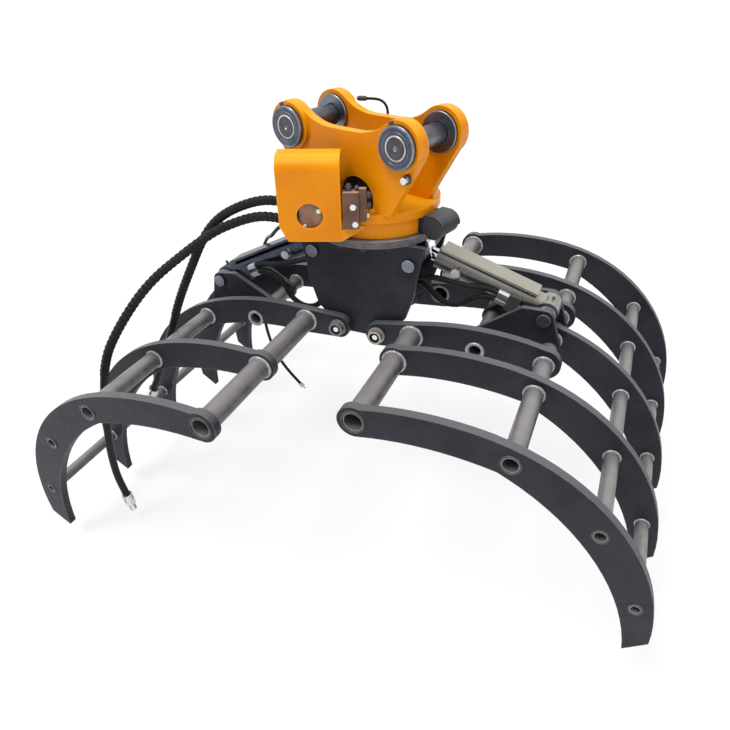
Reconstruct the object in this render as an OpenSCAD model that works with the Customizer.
// Grass grapple: two tined jaws under a slewing bracket that hangs on two machine pins.
// The origin is midway between the machine pins. The jaws open along X and their hinge pins
// lie along Y. Inside the modules, heights are measured from the hinge pins.

/* [Machine bracket] */
// Height of the machine pins over the jaws' hinge pins
pin_height = 460; // [450:1:480]
// Distance between the two machine pins
machine_pin_spacing = 300; // [280:5:320]
// Diameter of a machine pin
machine_pin_d = 45; // [40:1:55]
// Outer diameter of the steel bushes in the ears
bush_d = 88; // [80:1:95]
// Width of the raised rim round a bush
rim_w = 8; // [4:1:12]
// Distance from the slewing axis to the front ear's outer face
ear_front_y = 110; // [100:1:115]
// Distance from the slewing axis to the rear ear's outer face
ear_rear_y = 54; // [50:1:70]
// Thickness of an ear plate
ear_t = 22; // [15:1:25]
// How far a bush stands out on the outer side of its ear
bush_out = 18; // [12:1:20]
// How far a bush stands out on the inner side of its ear
bush_in = 8; // [4:1:12]
// Radius of the hollow between the two bosses of an ear
ear_hollow_r = 130; // [110:5:150]
// Turn of the bracket against the jaws
slew_at_rest = -16; // [-30:1:30]
/* [Slewing ring] */
// Diameter of the round base plate under the ears
base_d = 304; // [296:2:312]
// Thickness of the base plate
base_t = 20; // [14:1:24]
// Height of the slewing ring
ring_h = 38; // [30:1:42]
// Outer diameter of the slewing ring
ring_d = 284; // [270:2:300]
// Bore of the slewing ring's outer part
ring_bore = 200; // [180:2:220]
/* [Motor cover] */
// Turn of the cover against the ears
cover_turn = 37; // [30:1:40]
// Distance from the slewing axis to the cover's front face
cover_front = 170; // [165:1:180]
// Width of the cover's front face
cover_w = 134; // [120:2:140]
// Height of the cover's front face
cover_h = 181; // [170:1:190]
// Depth of the cover's roof
cover_roof = 64; // [50:1:70]
// Thickness of the cover's sheet
cover_t = 6; // [4:1:8]
// Diameter of the round hole in the cover
cover_hole_d = 56; // [40:1:60]
/* [Frame] */
// Distance between the two hinge pins
hinge_spacing = 104; // [100:1:110]
// Diameter of a hinge pin
hinge_pin_d = 32; // [26:1:36]
// Distance over the two frame plates
frame_over = 204; // [196:2:206]
// Thickness of a frame plate
frame_t = 12; // [10:1:14]
// Height of the frame plates over the hinge pins
frame_h = 232; // [228:1:234]
// Half the frame's width at its top
frame_half_w = 158; // [152:1:160]
// Diameter of the round plate on top of the frame
top_plate_d = 312; // [300:2:316]
// Thickness of the top plate
top_plate_t = 18; // [12:1:18]
// Distance of a cylinder's frame pin from the middle
rod_pin_x = 122; // [118:1:124]
// Distance of a cylinder's frame pin below the frame's top
rod_pin_drop = 46; // [45:1:50]
/* [Jaws] */
// Distance from tine to tine of one jaw
tine_pitch = 230; // [226:1:236]
// Thickness of a tine
tine_t = 20; // [16:1:20]
// Radius of a tine's long back
back_r = 709; // [700:1:715]
// Radius of a tine's hook, outside
hook_r = 420; // [415:1:425]
// Radius of a tine's hook, inside
hook_inner_r = 490; // [485:1:500]
// Radius of a tine's belly
belly_r = 715; // [710:1:720]
// How much further closed the left jaw stands at rest, in degrees
left_closed = 8.5; // [0:0.5:12]
/* [Cross tubes] */
// Diameter of the tube by the hinge
tube_a_d = 50; // [42:1:56]
// Diameter of the tube at the bend
tube_b_d = 41; // [34:1:48]
// Diameter of the upper tip tube
tube_c_d = 32; // [26:1:38]
// Diameter of the lower tip tube
tube_d_d = 28; // [22:1:32]
// Diameter of the short tube under the bracket
tube_e_d = 38; // [30:1:44]
// Wall of the cross tubes
tube_wall = 5; // [3:1:7]
/* [Cylinders] */
// Outer diameter of a cylinder barrel
barrel_d = 56; // [52:1:60]
// Diameter of a piston rod
rod_d = 32; // [28:1:34]
// Diameter of the pins at a cylinder's ends
cyl_pin_d = 26; // [22:1:26]
// Outer diameter of a barrel's eye
eye_d = 54; // [48:1:58]
// Width of a cylinder's eyes
eye_w = 56; // [46:1:60]
// Distance between a jaw's two bracket plates
bracket_gap = 88; // [80:2:92]
// Thickness of a bracket plate
bracket_t = 14; // [10:1:16]
/* [Hoses] */
// Outer diameter of the two supply hoses
hose_d = 22; // [18:1:24]
// Outer diameter of the thin drain hose
thin_hose_d = 9; // [7:1:10]
// Outer diameter of the cylinder hoses
jaw_hose_d = 15; // [12:1:16]
// Outer diameter of the sensor line
sensor_d = 6; // [4:1:8]

/* [Hidden] */
$fn = 48;
fine_fn = 96;
over = 1; // overrun of every cut
weld_gap = 0.05; // radial gap of a welded or pressed seat
run_gap = 0.05; // radial clearance of a running fit
free_gap = 0.5; // gap between plain faces that move past each other
hinge_x = hinge_spacing / 2;
arm_y = tine_pitch / 2;
arm_in_y = arm_y - tine_t / 2;
arm_out_y = arm_y + tine_t / 2;
right_reach_y = 2 * tine_pitch + tine_t / 2;
left_reach_y = 2.5 * tine_pitch + tine_t / 2;

// Heights over the hinge pins
rod_pin_z = frame_h - rod_pin_drop;
frame_top_z = frame_h + top_plate_t;
ring_z = frame_top_z + free_gap;
base_z = ring_z + ring_h;
ear_z = base_z + base_t;

// Places on a jaw, from its hinge pin: outwards and up
hub_a = [88, 14];
hub_b = [400, 8];
hub_c = [577, -107];
hub_d = [672, -272];
hub_e = [243, 10];
bracket_pin = [378, 85];
// Ends of the four long arcs of a tine, clockwise from its top by the hinge
back_ends = [[100.2, 48], [360.9, 55.3]];
hook_ends = [[367.9, 53.6], [715, -360]];
inner_ends = [[672.2, -400.8], [398, -26.7]];
belly_ends = [[377.3, -17], [99.6, -20.4]];
arm_hook_turn = 4.5;
arm_end_turn = 5;
tine_hub_r = 36;
tine_hub_angles = [-70.5, -289.5];
hinge_hub_r = 30;
hinge_hub_angles = [-94, -262];
arm_end_r = 37;
arm_end_z = 10;

// Front ear's shape
pin_x = machine_pin_spacing / 2;
ear_foot_half = 124;
ear_waist = 12;
ear_hole_r = 48;
ear_hole_at = [32, ear_z + 23.5];
rim_h = 8;
dimple_d = 10;
dimple_depth = 3;
boss_step = 1;
lock_bolt_r = 64;
lock_bolt_angle = -72;
lock_tab = [20, 8];
lock_head_d = 16;
lock_head_h = 10;

// Cover and drive, seen from the cover's front: across, out from the slewing axis, and
// height over the bottom of the slewing ring
cover_left = -204;
cover_bottom_z = 6.5;
cover_chamfer = 36;
cover_bend_r = 30;
window_corner_r = 12;
cover_hole_at = [-137, 63.5];
wing_end = [2, 139];
wing_low_z = 39.5;
wing_top_z = 67.5;
window_low_z = 33.5;
motor_at = [118, 101.5];
motor_d = 84;
motor_foot_x = [-160, -112];
motor_foot_out = [140, 160];
motor_foot_z = [11.5, 89.5];
motor_from = -165.9;
manifold_x = [-190, -166];
manifold_out = [64, 118];
manifold_z = [3.5, 89.5];
motor_plate_x = [-98, -86];
motor_plate_out = [82, 138];
motor_plate_top = 145.5;
gearbox_end = -79;
port_d = 24;
port_at = [-150, -124];
block_x = [-65.3, -32];
block_in = sqrt(pow(base_d / 2 + free_gap, 2) - pow(block_x[1], 2));
block_depth = 23;
block_out = [block_in, block_in + block_depth];
block_z = [35.5, 115.5];
block_ear_x = [-31.5, -16];
block_ear_out = [block_in + 3.4, block_in + 16];
block_ear_z = [49.5, 121.5];
block_bolts = [[-44, 85.5], [-40, 47.5]];
bolt_head_d = 15;
bolt_head_h = 6;
worm_y = [-25, 45];
worm_out = 26;
worm_rise = 15.5;
worm_at = [base_d / 2 + worm_out, ring_z + worm_rise];
worm_r = 24;
worm_sheet = 5;
worm_neck = 6;
worm_neck_x = base_d / 2 + worm_neck;

// Frame's shape
frame_steps = [[142, 155], [135, 104], [115, 43]];
frame_bottom = 20;
web_x = 60;
web_t = 10;
web_z = 22;
swivel_d = 84;
swivel_z = 60;
frame_bolt_r = 146;
frame_bolts = 16;
frame_bolt_d = 14;
frame_bolt_h = 7;
inner_bolts = 12;
inner_bolt_r = 84;
inner_ring_bore = 124;
pin_head_d = 30;
pin_head_t = 8;
hinge_head_d = 36;
hinge_head_t = 14;
hinge_recess_d = 26;
hinge_washer_t = 4;
spacer_wall = 7;

// Cylinders, along the line from the frame pin to the bracket pin
frame_pin = [rod_pin_x, rod_pin_z];
right_pin = [hinge_x, 0] + bracket_pin;
left_pin = [
    hinge_x + bracket_pin.x * cos(left_closed) + bracket_pin.y * sin(left_closed),
    bracket_pin.y * cos(left_closed) - bracket_pin.x * sin(left_closed)
];
right_length = norm(right_pin - frame_pin);
left_length = norm(left_pin - frame_pin);
right_tilt = atan2(frame_pin.y - right_pin.y, right_pin.x - frame_pin.x);
left_tilt = atan2(frame_pin.y - left_pin.y, left_pin.x - frame_pin.x);
barrel_reach = 284;
cap_t = 42;
piston_l = 20;
piston_room = 3.1;
rod_reach = right_length - cap_t - piston_room;
gland_l = 14;
barrel_wall = 5;
// The rod's eye has a long hole, because the pin wanders in it as the jaw swings
slot_ends = [[-5.5, 12.5], [8.5, -10]];
slot_extra = 4;
eye_wall = 5;
rod_eye_w = 40;
strip_w = 52;
strip_t = 5;
strip_rise = 1;
strip_ends = [20, 248];
port_boss_d = 22;
port_boss_l = 16;
port_places = [78, 226];
fitting_d = 17;
fitting_l = 40;
fitting_step = 19;
port_block = 28;
nipple_d = 7;
nipple_l = 9;
spacer_d = 46;

// Places where the supply hoses meet the block, in the cover's directions
upper_port = [-202.9, -98.9, 71.5];
lower_port = [-207.6, -97.1, 30.5];
thin_port = [-199.5, -73.4, 13.5];
hose_y = -36.2;
hose_gap = 0.6;
// Hose routes, in the part's own frame
upper_points = [
    [-154, -165, -138], [-172, -168, -137], [-199, -171, -138], [-232, -174, -147],
    [-269, -178, -162], [-305, -183, -182], [-333, -188, -205], [-354, -194, -230],
    [-370, -200, -256], [-385, -207, -285], [-402, -214, -320], [-422, -221, -360],
    [-445, -228, -408], [-469, -235, -466], [-499, -239, -535], [-535, -240, -606],
    [-568, -240, -672], [-593, -240, -718]
];
lower_points = [
    [-159, -165, -179], [-178, -169, -176], [-208, -173, -176], [-240, -179, -183],
    [-271, -189, -194], [-300, -201, -206], [-324, -215, -219], [-345, -232, -234],
    [-368, -256, -252], [-391, -283, -272], [-414, -311, -293], [-436, -340, -319],
    [-455, -368, -349], [-473, -395, -383], [-490, -416, -417], [-507, -435, -457],
    [-521, -447, -504], [-533, -455, -560], [-546, -460, -624], [-560, -460, -694],
    [-574, -460, -780], [-577, -460, -860], [-565, -460, -925]
];
thin_points = [
    [-160, -140, -196], [-180, -134, -206], [-205, -120, -226], [-228, -103, -249],
    [-257, -66, -273], [-284, -30, -292], [-312, 4, -312], [-340, 34, -340],
    [-363, 56, -373], [-379, 68, -410], [-388, 72, -450], [-393, 72, -495],
    [-397, 71, -545], [-398, 70, -595], [-394, 70, -645], [-384, 70, -695],
    [-367, 70, -738], [-345, 70, -773], [-319, 70, -803], [-292, 70, -829]
];
sensor_route = [
    [6, 62, -8], [6, 62, 6], [5, 63, 18], [1, 64, 28], [-8, 67, 35], [-22, 72, 38],
    [-38, 79, 37], [-55, 86, 35]
];
right_lead_points = [
    [317.3, -36.2, -338], [307.8, -36.2, -334.9], [293, -37.5, -331.5], [278, -40, -330.5],
    [260, -43, -330], [238, -45, -329], [215, -46, -327], [195, -47, -323], [178, -50, -320],
    [162, -51, -320], [144, -52, -322], [124, -52, -324], [104, -52, -325], [84, -52, -326],
    [65.3, -52, -326]
];
right_loop_points = [
    [311.4, -36.2, -356.1], [301.9, -36.2, -353], [293, -37, -353], [277, -37, -355],
    [263, -38, -361], [250, -38, -371], [238, -38, -380], [224, -38, -386], [208, -38, -388],
    [192, -38, -386], [178, -37, -380], [166, -36, -371], [149, -35, -355], [134, -34, -347],
    [115, -33, -344], [98, -32, -344], [82, -32, -344], [65.3, -32, -344]
];
left_lead_points = [
    [-332.3, -36.2, -378.9], [-323.3, -36.2, -374.4], [-308, -38.5, -368.5],
    [-292, -42, -364.5], [-275, -45.5, -361], [-255, -47, -357], [-236, -47, -352],
    [-215, -48, -345], [-195, -50, -337], [-175, -51, -330], [-150, -52, -325],
    [-125, -52, -323], [-95, -52, -322], [-65.3, -52, -322]
];
left_loop_points = [
    [-323.8, -36.2, -395.9], [-314.9, -36.2, -391.4], [-297, -37, -390], [-282, -38, -392],
    [-267, -39, -398], [-255, -40, -407], [-245, -41, -420], [-235, -42, -437],
    [-226, -43, -449], [-213, -44, -459], [-199, -45, -465], [-183, -46, -467],
    [-168, -47, -465], [-153, -48, -459], [-141, -49, -449], [-131, -50, -437],
    [-121, -50, -420], [-111, -50, -402], [-102, -50, -390], [-87, -50, -379], [-74, -50, -373],
    [-65.3, -50, -373]
];
// A route is drawn over so that it starts at its own fitting
function led(route, start) =
    let (last = len(route) - 1)
    [for (i = [0 : last]) route[i] + (start - route[0]) * (1 - i / last)];
function from_cover(p) =
    let (a = slew_at_rest + cover_turn)
    [p.x * cos(a) - p.y * sin(a), p.x * sin(a) + p.y * cos(a), p.z + ring_z - pin_height];
// The end of a fitting on a cylinder; side is 1 on the right and -1 on the left
function from_fitting(side, length, tilt, drop) =
    let (x = length - port_places[0] - fitting_l - hose_gap)
    [
        side * (rod_pin_x + x * cos(tilt) - drop * sin(tilt)),
        hose_y,
        rod_pin_z - pin_height - x * sin(tilt) - drop * cos(tilt)
    ];
upper_route = led(upper_points, from_cover(upper_port));
lower_route = led(lower_points, from_cover(lower_port));
thin_route = led(thin_points, from_cover(thin_port));
right_lead = led(right_lead_points, from_fitting(1, right_length, right_tilt, 0));
right_loop = led(right_loop_points, from_fitting(1, right_length, right_tilt, fitting_step));
left_lead = led(left_lead_points, from_fitting(-1, left_length, left_tilt, 0));
left_loop = led(left_loop_points, from_fitting(-1, left_length, left_tilt, fitting_step));
gland_d = 30;
thin_gland_d = 16;
gland_l2 = 20;
nut_rise = 8;
nose_l = 5;

function unit(v) = v / norm(v);
function on_arc(c, r, a) = [c.x + r * cos(a), c.y + r * sin(a)];
function arc(c, r, ends, n) = [
    for (i = [0 : n]) on_arc(c, r, ends[0] + (ends[1] - ends[0]) * i / n)
];
// Centre of the arc of radius r between two ends; side is 1 when it runs anticlockwise
function arc_centre(ends, r, side) =
    let (d = ends[1] - ends[0])
    (ends[0] + ends[1]) / 2 + side * sqrt(r * r - d * d / 4) * [-d.y, d.x] / norm(d);
function end_angles(ends, c) = [for (e = ends) atan2(e.y - c.y, e.x - c.x)];
function arc_between(ends, r, side, n) =
    let (c = arc_centre(ends, r, side)) arc(c, r, end_angles(ends, c), n);
function heading(p, i) = unit(p[min(i + 1, len(p) - 1)] - p[max(i - 1, 0)]);
function ring_point(p, i, r, w) =
    let (t = heading(p, i), a = unit(cross(t, [0, 1, 0])), b = cross(a, t))
    p[i] + r * (cos(w) * a + sin(w) * b);

module at_hinges() translate([0, 0, -pin_height]) children();

module bracket_side() rotate([0, 0, slew_at_rest]) at_hinges() children();

module cover_side() bracket_side()
    rotate([0, 0, cover_turn])
    translate([0, 0, ring_z])
    children();

module right_side() translate([hinge_x, 0, -pin_height]) children();

module left_side() {
    translate([-hinge_x, 0, -pin_height])
        mirror([1, 0, 0])
        rotate([0, left_closed, 0])
        children();
}

// A plate in the XZ plane whose middle lies at y
module plate(y, t) {
    translate([0, y + t / 2, 0])
        rotate([90, 0, 0])
        linear_extrude(t)
        children();
}

module rod_y(y0, y1, d, at = [0, 0], fn = 48) {
    translate([at.x, y1, at.y])
        rotate([90, 0, 0])
        cylinder(h = y1 - y0, d = d, $fn = fn);
}

module pipe_y(y0, y1, d, at) {
    difference() {
        rod_y(y0, y1, d, at);
        rod_y(y0 - over, y1 + over, d - 2 * tube_wall, at);
    }
}

// A box between two corners given as ranges
module span(x, y, z) {
    translate([x[0], y[0], z[0]])
        cube([x[1] - x[0], y[1] - y[0], z[1] - z[0]]);
}

module both_y() {
    children();
    mirror([0, 1, 0]) children();
}

module both_x() {
    children();
    mirror([1, 0, 0]) children();
}

// A hose: rings of points across the route, joined by triangles
module tube(p, d, sides) {
    last = len(p) - 1;
    points = [
        for (i = [0 : last])
            for (k = [0 : sides - 1])
                ring_point(p, i, d / 2, 360 * k / sides)
    ];
    walls = [
        for (i = [0 : last - 1])
            for (k = [0 : sides - 1])
                let (m = (k + 1) % sides, a = i * sides, b = a + sides)
                each [[a + k, a + m, b + m], [a + k, b + m, b + k]]
    ];
    start = [for (k = [sides - 1 : -1 : 0]) k];
    end = [for (k = [0 : sides - 1]) last * sides + k];
    polyhedron(points = points, faces = concat(walls, [start, end]));
}

// Points a piece that stands on its z axis along a direction
module aim(p, v) {
    translate(p)
        rotate([0, acos(v.z / norm(v)), atan2(v.y, v.x)])
        children();
}

/* Machine bracket */

// Half of an ear's outline: foot, boss, hollow; all arcs touch without a corner
boss_r = bush_d / 2 + rim_w + boss_step;
hollow_up = ear_waist + ear_hollow_r;
hollow_x = pin_x - sqrt(pow(ear_hollow_r + boss_r, 2) - pow(hollow_up, 2));
hollow_angle = atan2(hollow_up, hollow_x - pin_x);
foot_run = [pin_x - ear_foot_half, pin_height - ear_z];
cheek_angle = atan2(foot_run.y, foot_run.x) - asin(boss_r / norm(foot_run)) - 90;
half_ear = concat(
    [[ear_foot_half, ear_z + weld_gap]],
    arc([pin_x, pin_height], boss_r, [cheek_angle, hollow_angle], 24),
    arc([hollow_x, pin_height + hollow_up], ear_hollow_r, [hollow_angle - 180, -90], 10)
);

module ear_outline() {
    last = len(half_ear) - 1;
    polygon(concat(half_ear, [for (i = [last : -1 : 0]) [-half_ear[i].x, half_ear[i].y]]));
}

module ear_rims(y0, y1) {
    for (x = [-pin_x, pin_x]) rod_y(y0, y1, bush_d + 2 * rim_w, [x, pin_height], fine_fn);
}

module bush_bores() {
    for (x = [-pin_x, pin_x]) {
        rod_y(-2 * ear_front_y, 2 * ear_front_y, bush_d + 2 * weld_gap, [x, pin_height], fine_fn);
    }
}

module ear_front() color("orange") bracket_side() difference() {
    union() {
        plate(-ear_front_y + ear_t / 2, ear_t) ear_outline();
        ear_rims(-ear_front_y - rim_h, -ear_front_y);
    }
    bush_bores();
    rod_y(-ear_front_y - over, -ear_front_y + ear_t + over, 2 * ear_hole_r, ear_hole_at);
}

module ear_rear() color("orange") bracket_side() difference() {
    union() {
        plate(ear_rear_y - ear_t / 2, ear_t) ear_outline();
        ear_rims(ear_rear_y, ear_rear_y + rim_h);
    }
    bush_bores();
}

module base_plate() color("orange") bracket_side()
    translate([0, 0, base_z])
    difference() {
        cylinder(h = base_t, d = base_d, $fn = fine_fn);
        translate([0, 0, -over]) cylinder(h = base_t + 2 * over, d = swivel_d + 2 * spacer_wall);
    }

module slew_ring() color("darkorange") bracket_side()
    translate([0, 0, ring_z])
    difference() {
        cylinder(h = ring_h - weld_gap, d = ring_d, $fn = fine_fn);
        translate([0, 0, -over]) cylinder(h = ring_h + 2 * over, d = ring_bore, $fn = fine_fn);
    }

module bush(y0, y1) {
    for (x = [-pin_x, pin_x]) difference() {
        rod_y(y0, y1, bush_d, [x, pin_height], fine_fn);
        rod_y(y0 - over, y1 + over, machine_pin_d + 2 * weld_gap, [x, pin_height]);
    }
}

module ear_bushes() color("slategray") bracket_side() {
    bush(-ear_front_y - bush_out, -ear_front_y + ear_t + bush_in);
    bush(ear_rear_y - ear_t - bush_in, ear_rear_y + bush_out);
}

module machine_pins() color("lightsteelblue") bracket_side() {
    for (x = [-pin_x, pin_x]) difference() {
        rod_y(-ear_front_y - bush_out, ear_rear_y + bush_out, machine_pin_d, [x, pin_height]);
        rod_y(
            -ear_front_y - bush_out - over, -ear_front_y - bush_out + dimple_depth,
            dimple_d, [x, pin_height]
        );
    }
}

// A locking tab and its bolt beside each bush
module pin_locks() color("gainsboro") bracket_side() {
    for (x = [-pin_x, pin_x]) {
        translate([x, -ear_front_y, pin_height])
            rotate([0, -lock_bolt_angle, 0])
            translate([lock_bolt_r + weld_gap, 0, 0]) {
                rod_y(-lock_tab.y, -weld_gap, lock_tab.x);
                rod_y(-lock_tab.y - lock_head_h, -lock_tab.y, lock_head_d, fn = 6);
            }
    }
}

/* Motor cover and drive */

cover_top = cover_bottom_z + cover_h;
cover_bend = [-cover_front + cover_bend_r, cover_top - cover_bend_r];
cover_back = -cover_front + cover_roof;

// A stretch of the cover, drawn as it is seen from its side and drawn out across
module cover_side_shape(points, x, width) {
    translate([x, 0, 0])
        rotate([90, 0, 90])
        linear_extrude(width)
        polygon(points);
}

// Front and roof are one bent sheet
module cover_sheet() {
    cover_side_shape(
        concat(
            [[-cover_front + cover_t, cover_bottom_z], [-cover_front, cover_bottom_z]],
            arc(cover_bend, cover_bend_r, [180, 90], 12),
            [[cover_back, cover_top], [cover_back, cover_top - cover_t]],
            arc(cover_bend, cover_bend_r - cover_t, [90, 180], 12)
        ),
        cover_left, cover_w
    );
    cover_side_shape(
        concat(
            [[cover_back, cover_hole_at.y + cover_chamfer]],
            [[-cover_front, cover_hole_at.y + cover_chamfer]],
            arc(cover_bend, cover_bend_r, [180, 90], 12),
            [[cover_back, cover_top]]
        ),
        cover_left, cover_t
    );
}

// The wing runs from the front's right edge back to the front ear
module wing() {
    start = [cover_left + cover_w, -cover_front];
    run = [wing_end.x, -wing_end.y] - start;
    length = norm(run);
    translate([start.x, start.y, 0])
        rotate([0, 0, atan2(run.y, run.x)])
        translate([0, cover_t, 0])
        rotate([90, 0, 0])
        linear_extrude(cover_t)
        polygon([
            [0, cover_bottom_z],
            [length, wing_low_z],
            [length, wing_top_z],
            [length - window_corner_r, wing_top_z],
            [length - 2 * window_corner_r, window_low_z],
            [0, window_low_z]
        ]);
}

module motor_cover() color("orange") cover_side() difference() {
    union() {
        cover_sheet();
        wing();
    }
    rod_y(-cover_front - over, -cover_front + cover_t + over, cover_hole_d, cover_hole_at);
    // the cut corner at the lower left
    plate(-cover_front + cover_t / 2, cover_t + 2 * over)
        polygon([
            [cover_left - over, cover_bottom_z - over],
            [cover_left + cover_chamfer / 2, cover_bottom_z - over],
            [cover_left - over, cover_bottom_z + cover_chamfer]
        ]);
    // room for the plate and ring under the ears, and for the ear that carries the wing
    translate([0, 0, -free_gap])
        cylinder(h = ear_z - ring_z + free_gap + weld_gap, d = base_d + 2 * weld_gap, $fn = fine_fn);
    rotate([0, 0, -cover_turn])
        translate([0, -ear_front_y - weld_gap, 0])
        cube([base_d, base_d, base_d]);
}

module slew_motor() color("dimgray") cover_side() {
    translate([motor_from, -motor_at.x, motor_at.y])
        rotate([0, 90, 0])
        cylinder(h = motor_plate_x[0] - motor_from - weld_gap, d = motor_d);
    for (x = port_at) {
        translate([x, -motor_at.x, motor_at.y])
            cylinder(h = motor_d / 2 + port_d / 2, d = port_d);
    }
    span(motor_foot_x, [-motor_foot_out[1], -motor_foot_out[0]], motor_foot_z);
}

// The block on the motor's end that the supply hoses are screwed into
module manifold() color("dimgray") difference() {
    cover_side() span(manifold_x, [-manifold_out[1], -manifold_out[0]], manifold_z);
    gland_at(upper_route, gland_d + 2 * weld_gap, gland_l2 + weld_gap);
    gland_at(lower_route, gland_d + 2 * weld_gap, gland_l2 + weld_gap);
    gland_at(thin_route, thin_gland_d + 2 * weld_gap, gland_l2 + weld_gap);
}

module motor_plate() color("dimgray") cover_side() {
    span(
        motor_plate_x, [-motor_plate_out[1], -motor_plate_out[0]],
        [ear_z - ring_z + weld_gap, motor_plate_top]
    );
    translate([motor_plate_x[1], -motor_at.x, motor_at.y])
        rotate([0, 90, 0])
        cylinder(h = gearbox_end - motor_plate_x[1], d = motor_d - cover_t);
}

module valve_block() color("saddlebrown") cover_side() {
    span(
        block_x, [-block_out[1], -block_out[0]], block_z
    );
    span(block_ear_x, [-block_ear_out[1], -block_ear_out[0]], block_ear_z);
    for (b = block_bolts) {
        rod_y(-block_out[1] - bolt_head_h, -block_out[1] - weld_gap, bolt_head_d, b, 6);
    }
}

module worm_profile(r) {
    hull() {
        translate(worm_at) circle(r = r);
        translate([worm_neck_x, worm_at.y]) square([worm_r, r]);
    }
}

module worm_housing() color("gray") bracket_side() difference() {
    union() {
        plate((worm_y[0] + worm_y[1]) / 2, worm_y[1] - worm_y[0])
            difference() {
                intersection() {
                    worm_profile(worm_r + worm_sheet);
                    translate([0, worm_at.y]) square(2 * base_d);
                }
                worm_profile(worm_r + weld_gap);
            }
        span([ring_d / 2 - spacer_wall, worm_neck_x + spacer_wall], worm_y, [ring_z + free_gap, base_z]);
    }
    translate([0, 0, ring_z - over])
        cylinder(h = ring_h + 2 * over, d = ring_d + 2 * weld_gap, $fn = fine_fn);
    plate((worm_y[0] + worm_y[1]) / 2, worm_y[1] - worm_y[0] + 2 * over)
        worm_profile(worm_r + weld_gap);
}

module worm_motor() color("black") bracket_side()
    plate((worm_y[0] + worm_y[1]) / 2, worm_y[1] - worm_y[0])
    worm_profile(worm_r);

/* Hoses and their fittings */

module hose_upper() color("black") tube(upper_route, hose_d, 10);

module hose_lower() color("black") tube(lower_route, hose_d, 10);

module hose_thin() color("black") tube(thin_route, thin_hose_d, 8);

module sensor_line() color("black") tube(sensor_route, sensor_d, 8);

module gland_at(route, d, h) {
    aim(route[0], route[0] - route[1])
        translate([0, 0, weld_gap])
        cylinder(h = h, d = d, $fn = 6);
}

module hose_glands() color("silver") {
    gland_at(upper_route, gland_d, gland_l2);
    gland_at(lower_route, gland_d, gland_l2);
    gland_at(thin_route, thin_gland_d, gland_l2);
}

module end_fitting(route, d) {
    last = len(route) - 1;
    aim(route[last], route[last] - route[last - 1]) translate([0, 0, weld_gap]) {
        cylinder(h = d, d = d + cover_t);
        translate([0, 0, d]) cylinder(h = d / 2, d = d + nut_rise, $fn = 6);
        translate([0, 0, 3 * d / 2]) cylinder(h = d, d = d - cover_t / 2);
    }
}

module hose_ends() color("silver") {
    end_fitting(upper_route, hose_d);
    end_fitting(lower_route, hose_d);
    end_fitting(thin_route, thin_hose_d);
    last = len(sensor_route) - 1;
    aim(sensor_route[last], sensor_route[last] - sensor_route[last - 1])
        translate([0, 0, weld_gap])
        cylinder(h = nose_l * sensor_d, d = 2 * sensor_d);
}

/* Frame */

module frame_outline() {
    polygon([
        [-frame_half_w, frame_h - weld_gap],
        for (p = frame_steps) [-p.x, p.y],
        [-hinge_x, -frame_bottom],
        [hinge_x, -frame_bottom],
        for (i = [len(frame_steps) - 1 : -1 : 0]) frame_steps[i],
        [frame_half_w, frame_h - weld_gap]
    ]);
    for (x = [-hinge_x, hinge_x]) translate([x, 0]) circle(r = hinge_hub_r);
}

module frame_plate(y) {
    difference() {
        plate(y, frame_t) frame_outline();
        for (x = [-hinge_x, hinge_x]) {
            rod_y(y - frame_t, y + frame_t, hinge_pin_d + 2 * weld_gap, [x, 0]);
        }
        for (x = [-rod_pin_x, rod_pin_x]) {
            rod_y(y - frame_t, y + frame_t, cyl_pin_d + 2 * weld_gap, [x, rod_pin_z]);
        }
    }
}

frame_y = frame_over / 2 - frame_t / 2;
frame_in = frame_over / 2 - frame_t;

module frame_plate_front() color("dimgray") at_hinges() frame_plate(-frame_y);

module frame_plate_rear() color("dimgray") at_hinges() frame_plate(frame_y);

module frame_top_plate() color("gray") at_hinges()
    translate([0, 0, frame_h])
    difference() {
        cylinder(h = top_plate_t, d = top_plate_d, $fn = fine_fn);
        translate([0, 0, -over])
            cylinder(h = top_plate_t + 2 * over, d = swivel_d + 2 * weld_gap);
    }

module frame_webs() color("dimgray") at_hinges() {
    both_x() {
        span(
            [web_x - web_t / 2, web_x + web_t / 2],
            [-frame_in + weld_gap, frame_in - weld_gap],
            [web_z, frame_h - weld_gap]
        );
    }
    span(
        [-web_x + web_t / 2 + weld_gap, web_x - web_t / 2 - weld_gap],
        [-frame_in + weld_gap, frame_in - weld_gap], [web_z, web_z + web_t]
    );
}

module swivel_joint() color("gray") at_hinges() {
    translate([0, 0, swivel_z]) cylinder(h = base_z - swivel_z, d = swivel_d);
    both_x() {
        translate([swivel_d / 2 - over, 0, (swivel_z + frame_h) / 2])
            rotate([0, 90, 0])
            cylinder(h = over + bolt_head_h, d = port_d);
    }
}

module hinge_pin(x) {
    reach = arm_out_y + free_gap + hinge_washer_t;
    rod_y(-reach, reach, hinge_pin_d, [x, 0]);
    both_y() {
        rod_y(arm_out_y + free_gap, reach, hinge_head_d + cover_t, [x, 0]);
        difference() {
            rod_y(reach, reach + hinge_head_t, hinge_head_d, [x, 0]);
            rod_y(reach + dimple_depth, reach + hinge_head_t + over, hinge_recess_d, [x, 0]);
        }
        rod_y(reach, reach + hinge_head_t - dimple_depth, bolt_head_d, [x, 0], 6);
    }
}

module hinge_pins() color("darkkhaki") at_hinges() {
    hinge_pin(-hinge_x);
    hinge_pin(hinge_x);
}

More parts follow.
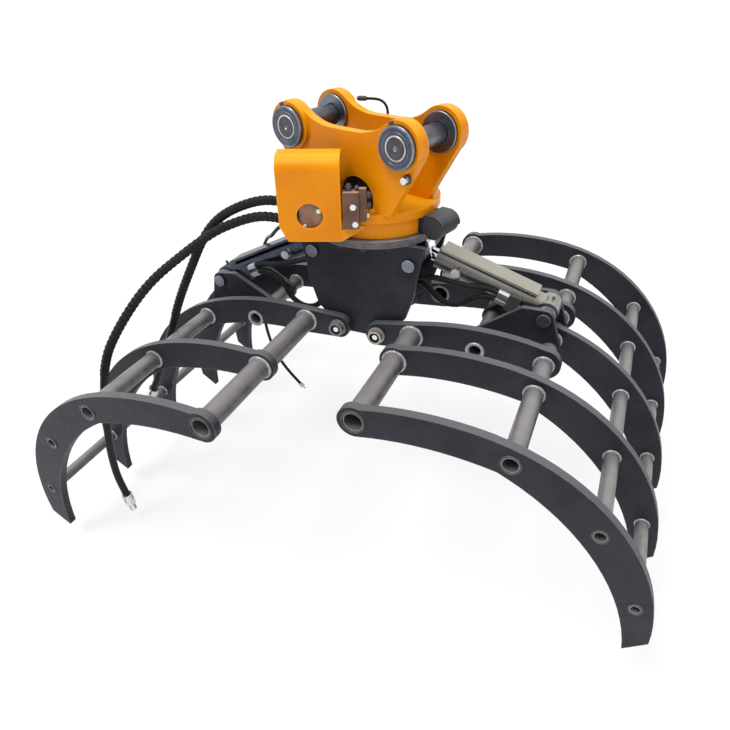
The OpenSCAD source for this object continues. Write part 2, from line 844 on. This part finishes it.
module rod_pins() color("gainsboro") at_hinges() {
    for (x = [-rod_pin_x, rod_pin_x]) {
        rod_y(-frame_over / 2 - free_gap, frame_over / 2 + free_gap, cyl_pin_d, [x, rod_pin_z]);
        both_y() {
            rod_y(
                frame_over / 2 + weld_gap, frame_over / 2 + pin_head_t,
                pin_head_d, [x, rod_pin_z]
            );
            rod_y(
                rod_eye_w / 2 + free_gap, frame_in - weld_gap,
                cyl_pin_d + 2 * spacer_wall, [x, rod_pin_z]
            );
        }
    }
}

module inner_ring() color("dimgray") at_hinges()
    translate([0, 0, frame_top_z + weld_gap]) {
        difference() {
            cylinder(h = ring_h - bolt_head_h, d = ring_bore - 2 * free_gap, $fn = fine_fn);
            translate([0, 0, -over]) cylinder(h = ring_h + 2 * over, d = inner_ring_bore);
            for (k = [1 : inner_bolts]) {
                rotate([0, 0, 360 * k / inner_bolts])
                    translate([inner_bolt_r, 0, ring_h / 2])
                    cylinder(h = ring_h, d = bolt_head_d);
            }
        }
    }

module frame_bolts() color("gainsboro") at_hinges() {
    for (k = [1 : frame_bolts]) {
        rotate([0, 0, 360 * (k + 0.5) / frame_bolts])
            translate([frame_bolt_r, 0, frame_h - frame_bolt_h])
            cylinder(h = frame_bolt_h - weld_gap, d = frame_bolt_d, $fn = 6);
    }
}

/* Jaws */

// The stretches of a tine's outline, run clockwise from its hinge end's top
back_line = arc_between(back_ends, back_r, -1, 12);
hook_centre = arc_centre(hook_ends, hook_r, -1);
hook_angles = end_angles(hook_ends, hook_centre);
arm_hook_angle = hook_angles[0] - arm_hook_turn;
hook_line = arc(hook_centre, hook_r, hook_angles, 20);
inner_line = arc_between(inner_ends, hook_inner_r, 1, 16);
belly_line = arc_between(belly_ends, belly_r, 1, 10);
hub_line = arc(hub_a, tine_hub_r, tine_hub_angles, 18);
hinge_line = arc([0, 0], hinge_hub_r, hinge_hub_angles, 16);
arm_end = [hub_b.x, arm_end_z];

module plain_outline() {
    polygon(concat(back_line, hook_line, inner_line, belly_line, hub_line));
}

module hinged_outline() {
    polygon(concat(back_line, hook_line, inner_line, belly_line, hinge_line));
}

module arm_outline() {
    polygon(concat(
        back_line,
        arc(hook_centre, hook_r, [hook_angles[0], arm_hook_angle], 3),
        arc(arm_end, arm_end_r, [90 - arm_end_turn, -90], 16),
        belly_line, hinge_line
    ));
}

module outer_outline() {
    polygon(concat(
        arc(hook_centre, hook_r, [arm_hook_angle, hook_angles[1]], 19),
        inner_line,
        arc(arm_end, arm_end_r, [-90 - arm_end_turn, -270 + arm_end_turn], 16)
    ));
}

module hub_bore(at, d, y) {
    rod_y(y - tine_t, y + tine_t, d + 2 * weld_gap, at);
}

module tip_bores(y) {
    hub_bore(hub_b, tube_b_d, y);
    hub_bore(hub_c, tube_c_d, y);
    hub_bore(hub_d, tube_d_d, y);
}

module hinge_bores(y) {
    rod_y(y - tine_t, y + tine_t, hinge_pin_d + 2 * run_gap);
    hub_bore(hub_a, tube_a_d, y);
    hub_bore(hub_e, tube_e_d, y);
}

module plain_tine(y) color("darkslategray") difference() {
    plate(y, tine_t) plain_outline();
    hub_bore(hub_a, tube_a_d, y);
    tip_bores(y);
}

module hinged_tine(y) color("darkslategray") difference() {
    plate(y, tine_t) hinged_outline();
    hinge_bores(y);
    tip_bores(y);
}

module outer_tine(y) color("darkslategray") difference() {
    plate(y, tine_t) outer_outline();
    tip_bores(y);
}

module short_arm(y) color("darkslategray") difference() {
    plate(y, tine_t) arm_outline();
    hinge_bores(y);
    hub_bore(hub_b, tube_b_d, y);
}

module tube_a(reach) color("gray") both_y() pipe_y(arm_in_y, reach, tube_a_d, hub_a);

module tube_b(reach) color("gray") pipe_y(-reach, reach, tube_b_d, hub_b);

module tip_tubes(reach) color("gray") {
    pipe_y(-reach, reach, tube_c_d, hub_c);
    pipe_y(-reach, reach, tube_d_d, hub_d);
}

module tube_e() color("gray") pipe_y(-arm_out_y, arm_out_y, tube_e_d, hub_e);

// Two plates that stand on the tubes and carry the cylinder's pin
bracket_hub_r = 22;
bracket_foot_r = 26;
bracket_peak = [330, 96];
bracket_peak_r = 10;

module bracket_outline() {
    hull() {
        translate(bracket_pin) circle(r = bracket_hub_r);
        translate(bracket_peak) circle(r = bracket_peak_r);
        translate(hub_e) circle(r = bracket_foot_r);
        translate(hub_b) circle(r = bracket_foot_r);
    }
}

module jaw_bracket() color("darkslategray") both_y() difference() {
    plate(bracket_gap / 2 + bracket_t / 2, bracket_t) bracket_outline();
    rod_y(0, bracket_gap, cyl_pin_d + 2 * weld_gap, bracket_pin);
    rod_y(0, bracket_gap, tube_e_d + 2 * weld_gap, hub_e);
    rod_y(0, bracket_gap, tube_b_d + 2 * weld_gap, hub_b);
}

module jaw_bracket_pin() color("gainsboro") {
    reach = bracket_gap / 2 + bracket_t;
    rod_y(-reach - free_gap, reach + free_gap, cyl_pin_d, bracket_pin);
    both_y() {
        rod_y(reach + weld_gap, reach + pin_head_t, pin_head_d + over, bracket_pin);
        rod_y(eye_w / 2 + free_gap, bracket_gap / 2 - weld_gap, spacer_d, bracket_pin);
    }
}

module left_tine_1() left_side() plain_tine(-2.5 * tine_pitch);

module left_tine_2() left_side() plain_tine(-1.5 * tine_pitch);

module left_tine_3() left_side() hinged_tine(-arm_y);

module left_tine_4() left_side() hinged_tine(arm_y);

module left_tine_5() left_side() plain_tine(1.5 * tine_pitch);

module left_tine_6() left_side() plain_tine(2.5 * tine_pitch);

module left_tube_a() left_side() tube_a(left_reach_y);

module left_tube_b() left_side() tube_b(left_reach_y);

module left_tip_tubes() left_side() tip_tubes(left_reach_y);

module left_tube_e() left_side() tube_e();

module left_bracket() left_side() jaw_bracket();

module left_bracket_pin() left_side() jaw_bracket_pin();

module right_tine_1() right_side() plain_tine(-2 * tine_pitch);

module right_tine_2() right_side() plain_tine(-tine_pitch);

module right_tine_3() right_side() outer_tine(0);

module right_tine_4() right_side() plain_tine(tine_pitch);

module right_tine_5() right_side() plain_tine(2 * tine_pitch);

module right_arms() right_side() {
    short_arm(-arm_y);
    short_arm(arm_y);
}

module right_tube_a() right_side() tube_a(right_reach_y);

module right_tube_b() right_side() tube_b(right_reach_y);

module right_tip_tubes() right_side() tip_tubes(right_reach_y);

module right_tube_e() right_side() tube_e();

module right_bracket() right_side() jaw_bracket();

module right_bracket_pin() right_side() jaw_bracket_pin();

/* Cylinders */

module cylinder_line(tilt) {
    translate([rod_pin_x, 0, rod_pin_z - pin_height]) rotate([0, tilt, 0]) children();
}

module on_x(x, d, h) translate([x, 0, 0]) rotate([0, 90, 0]) cylinder(h = h, d = d);

module barrel(length) color("silver") {
    mouth = length - barrel_reach;
    difference() {
        union() {
            on_x(mouth, barrel_d, barrel_reach - eye_d / 4);
            rod_y(-eye_w / 2, eye_w / 2, eye_d, [length, 0]);
            rod_y(
                -barrel_d / 2 - port_boss_l, -barrel_d / 4, port_boss_d,
                [length - port_places[1], 0]
            );
        }
        on_x(mouth + gland_l, barrel_d - 2 * barrel_wall, barrel_reach - gland_l - cap_t);
        on_x(mouth - over, rod_d + 2 * run_gap, gland_l + 2 * over);
        rod_y(-eye_w, eye_w, cyl_pin_d + 2 * run_gap, [length, 0]);
    }
    // flat strip that guards the barrel's top
    span(
        [mouth + strip_ends[0] - gland_l, mouth + strip_ends[1]], [-strip_w / 2, strip_w / 2],
        [barrel_d / 2 - strip_rise, barrel_d / 2 + strip_t]
    );
    // grease nipple on the eye
    translate([length, 0, eye_d / 2 - strip_rise]) cylinder(h = nipple_l, d = nipple_d, $fn = 16);
    // block by the eye with the two hose fittings
    block_x0 = length - port_places[0];
    span(
        [block_x0 - port_block / 2, block_x0 + port_block / 2],
        [-barrel_d / 2 - port_boss_l, -barrel_d / 2 + barrel_wall],
        [-fitting_step - port_boss_d / 2, port_boss_d / 2]
    );
    for (drop = [0, fitting_step]) {
        translate([block_x0, -barrel_d / 2 - port_boss_l + fitting_d / 2, -drop])
            rotate([0, -90, 0])
            cylinder(h = fitting_l, d = fitting_d, $fn = 6);
    }
}

module slot_shape(r) {
    hull() {
        for (p = slot_ends) translate(p) circle(r = r);
    }
}

module piston_rod() color("silver") {
    r = cyl_pin_d / 2 + slot_extra;
    difference() {
        union() {
            plate(0, rod_eye_w) slot_shape(r + eye_wall);
            on_x(0, rod_d, rod_reach - over);
            on_x(rod_reach - piston_l, barrel_d - 2 * barrel_wall - 2 * run_gap, piston_l);
        }
        plate(0, rod_eye_w + 2 * over) slot_shape(r);
    }
}

module right_barrel() cylinder_line(right_tilt) barrel(right_length);

module right_rod() cylinder_line(right_tilt) piston_rod();

module left_barrel() mirror([1, 0, 0]) cylinder_line(left_tilt) barrel(left_length);

module left_rod() mirror([1, 0, 0]) cylinder_line(left_tilt) piston_rod();

module left_hoses() color("black") {
    tube(left_loop, jaw_hose_d, 8);
    tube(left_lead, jaw_hose_d, 8);
}

module right_hoses() color("black") {
    tube(right_loop, jaw_hose_d, 8);
    tube(right_lead, jaw_hose_d, 8);
}

ear_front();
ear_rear();
base_plate();
slew_ring();
ear_bushes();
machine_pins();
pin_locks();
motor_cover();
slew_motor();
manifold();
motor_plate();
valve_block();
worm_housing();
worm_motor();
hose_upper();
hose_lower();
hose_thin();
hose_glands();
hose_ends();
sensor_line();
frame_top_plate();
frame_plate_front();
frame_plate_rear();
frame_webs();
swivel_joint();
hinge_pins();
rod_pins();
inner_ring();
frame_bolts();
left_tine_1();
left_tine_2();
left_tine_3();
left_tine_4();
left_tine_5();
left_tine_6();
left_tube_a();
left_tube_b();
left_tip_tubes();
left_tube_e();
left_bracket();
left_bracket_pin();
right_tine_1();
right_tine_2();
right_tine_3();
right_tine_4();
right_tine_5();
right_arms();
right_tube_a();
right_tube_b();
right_tip_tubes();
right_tube_e();
right_bracket();
right_bracket_pin();
left_barrel();
left_rod();
right_barrel();
right_rod();
left_hoses();
right_hoses();
